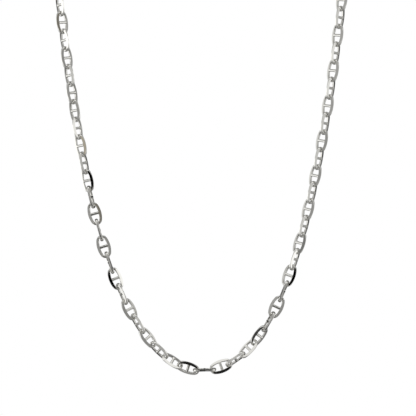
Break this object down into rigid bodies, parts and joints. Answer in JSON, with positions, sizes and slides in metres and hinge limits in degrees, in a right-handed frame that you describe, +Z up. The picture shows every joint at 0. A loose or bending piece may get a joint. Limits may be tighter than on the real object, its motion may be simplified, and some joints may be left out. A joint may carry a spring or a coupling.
{
  "type": "mariner link chain necklace",
  "caption": "Closed neck chain of oval links, each with a bar across its middle and flat cuts along its sides, that hangs as a U in front and closes with a small clasp at the nape.",
  "frame": {"origin": "middle of the nape, on the centre line of the chain, at the clasp", "axes": "+Z up, front of the wearer towards -Y, +X to the right as seen from the front"},
  "size_m": [0.1155, 0.0969, 0.1572],
  "materials": {
    "silver": "polished and flat cut, white plated",
    "clasp_silver": "polished, white plated"
  },
  "bodies": {
    "root": {"chain_left": "silver", "chain_right": "silver", "clasp": "clasp_silver", "clasp_ring": "clasp_silver", "end_ring": "clasp_silver"}
  },
  "joints": []
}
